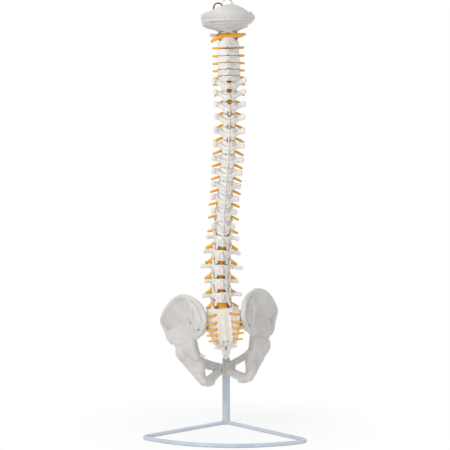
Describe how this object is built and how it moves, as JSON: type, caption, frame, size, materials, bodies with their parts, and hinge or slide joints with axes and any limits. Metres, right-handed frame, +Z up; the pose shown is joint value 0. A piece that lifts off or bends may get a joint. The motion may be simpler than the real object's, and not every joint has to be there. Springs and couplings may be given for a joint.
{
  "type": "anatomical spine model",
  "caption": "Flexible life-size anatomical spine model with pelvis, nerve stubs and occipital plate, held upright on a triangular bent-bar stand.",
  "frame": {"origin": "centre of the upright post's foot, on the floor", "axes": "+Z up along the post; +Y forwards, the way the body faces; -Y its back, which the picture shows; +X the body's right side"},
  "size_m": [0.3174, 0.2277, 0.8811],
  "materials": {
    "bone_plastic": "satin",
    "disc_plastic": "matte",
    "nerve_rubber": "satin",
    "artery_rubber": "satin",
    "powder_coat": "satin",
    "steel": "satin"
  },
  "bodies": {
    "root": {"c1_atlas": "bone_plastic", "c2": "bone_plastic", "c3": "bone_plastic", "c4": "bone_plastic", "c5": "bone_plastic", "c6": "bone_plastic", "c7": "bone_plastic", "t1": "bone_plastic", "t2": "bone_plastic", "t3": "bone_plastic", "t4": "bone_plastic", "t5": "bone_plastic", "t6": "bone_plastic", "t7": "bone_plastic", "t8": "bone_plastic", "t9": "bone_plastic", "t10": "bone_plastic", "t11": "bone_plastic", "t12": "bone_plastic", "l1": "bone_plastic", "l2": "bone_plastic", "l3": "bone_plastic", "l4": "bone_plastic", "l5": "bone_plastic", "sacrum": "bone_plastic", "hip_bone_left": "bone_plastic", "hip_bone_right": "bone_plastic", "occipital_plate": "bone_plastic", "disc_c2_c3": "disc_plastic", "disc_c3_c4": "disc_plastic", "disc_c4_c5": "disc_plastic", "disc_c5_c6": "disc_plastic", "disc_c6_c7": "disc_plastic", "disc_c7_t1": "disc_plastic", "disc_t1_t2": "disc_plastic", "disc_t2_t3": "disc_plastic", "disc_t3_t4": "disc_plastic", "disc_t4_t5": "disc_plastic", "disc_t5_t6": "disc_plastic", "disc_t6_t7": "disc_plastic", "disc_t7_t8": "disc_plastic", "disc_t8_t9": "disc_plastic", "disc_t9_t10": "disc_plastic", "disc_t10_t11": "disc_plastic", "disc_t11_t12": "disc_plastic", "disc_t12_l1": "disc_plastic", "disc_l1_l2": "disc_plastic", "disc_l2_l3": "disc_plastic", "disc_l3_l4": "disc_plastic", "disc_l4_l5": "disc_plastic", "disc_l5_sacrum": "disc_plastic", "symphysis_disc": "disc_plastic", "spinal_cord": "nerve_rubber", "vertebral_artery_left": "artery_rubber", "vertebral_artery_right": "artery_rubber", "base_frame": "powder_coat", "post_tube": "powder_coat", "flexible_core": "steel", "support_rod": "steel", "hanging_eye": "steel"}
  },
  "joints": []
}
